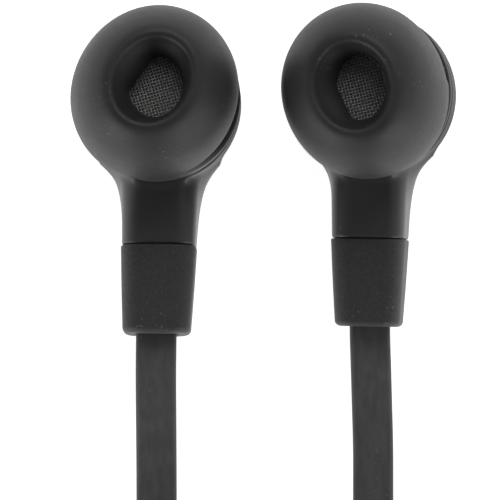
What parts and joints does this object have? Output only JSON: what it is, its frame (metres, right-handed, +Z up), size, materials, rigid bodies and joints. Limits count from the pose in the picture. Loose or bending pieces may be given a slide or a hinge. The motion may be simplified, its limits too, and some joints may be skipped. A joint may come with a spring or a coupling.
{
  "type": "wired earphones",
  "caption": "Wired in-ear earphones lying on their backs, with oval silicone ear tips, stems with rubber sleeves, flat cables wound in a tied hank, and a stereo jack plug.",
  "frame": {"origin": "on the surface that the earphones lie on, under the middle of the two earpieces", "axes": "+Z up, out of the ear tips; -Y along the stems and cables towards the plug; +X to the viewer's right, where the right-hand earpiece lies"},
  "size_m": [0.0302, 0.164, 0.0162],
  "materials": {
    "silicone": "soft satin silicone",
    "shell": "satin moulded plastic",
    "cap": "satin, bare",
    "mesh": "fine woven mesh",
    "felt": "damping felt",
    "gasket": "matt",
    "steel": "plated",
    "film": "thin film",
    "copper": "enamelled winding",
    "magnet": "sintered",
    "board": "circuit board",
    "filter": "acoustic paper",
    "anchor": "moulded",
    "wire": "insulated",
    "sleeve": "finely grained rubber",
    "cable": "matt flat cable jacket",
    "tie": "woven strap",
    "splitter": "satin",
    "brass": "crimp",
    "plug_rubber": "moulded, matt",
    "core": "inner mould",
    "nickel": "nickel plate",
    "insulator": "gloss"
  },
  "bodies": {
    "cable_and_housings": {"left_front_housing": "shell", "left_rear_housing": "shell", "left_rear_cap": "cap", "left_nozzle_mesh": "mesh", "left_nozzle_damper": "felt", "left_driver_gasket": "gasket", "left_driver_basket": "steel", "left_diaphragm": "film", "left_voice_coil": "copper", "left_top_plate": "steel", "left_magnet": "magnet", "left_yoke": "steel", "left_terminal_board": "board", "left_vent_filter": "filter", "left_cable_anchor": "anchor", "left_wire_pair": "wire", "left_strain_relief": "sleeve", "right_front_housing": "shell", "right_rear_housing": "shell", "right_rear_cap": "cap", "right_nozzle_mesh": "mesh", "right_nozzle_damper": "felt", "right_driver_gasket": "gasket", "right_driver_basket": "steel", "right_diaphragm": "film", "right_voice_coil": "copper", "right_top_plate": "steel", "right_magnet": "magnet", "right_yoke": "steel", "right_terminal_board": "board", "right_vent_filter": "filter", "right_cable_anchor": "anchor", "right_wire_pair": "wire", "right_strain_relief": "sleeve", "left_lead": "cable", "right_lead": "cable", "cable_hank": "cable", "cable_tie": "tie", "splitter_upper": "splitter", "splitter_lower": "splitter", "splitter_splice": "brass", "trunk_lead": "cable", "plug_strain_relief": "plug_rubber", "plug_handle": "plug_rubber", "plug_core": "core", "plug_sleeve_contact": "nickel", "plug_ring_contact": "nickel", "plug_insulator": "insulator", "plug_tip_contact": "nickel"},
    "left_tip": {"left_ear_tip": "silicone"},
    "right_tip": {"right_ear_tip": "silicone"}
  },
  "joints": [
    {"name": "left_tip_pull", "type": "slide", "parent": "cable_and_housings", "child": "left_tip", "axis": [-0.0209, 0.0454, 0.9988], "range_m": [0, 0.008]},
    {"name": "right_tip_pull", "type": "slide", "parent": "cable_and_housings", "child": "right_tip", "axis": [-0.1597, -0.0436, 0.9862], "range_m": [0, 0.008]}
  ]
}
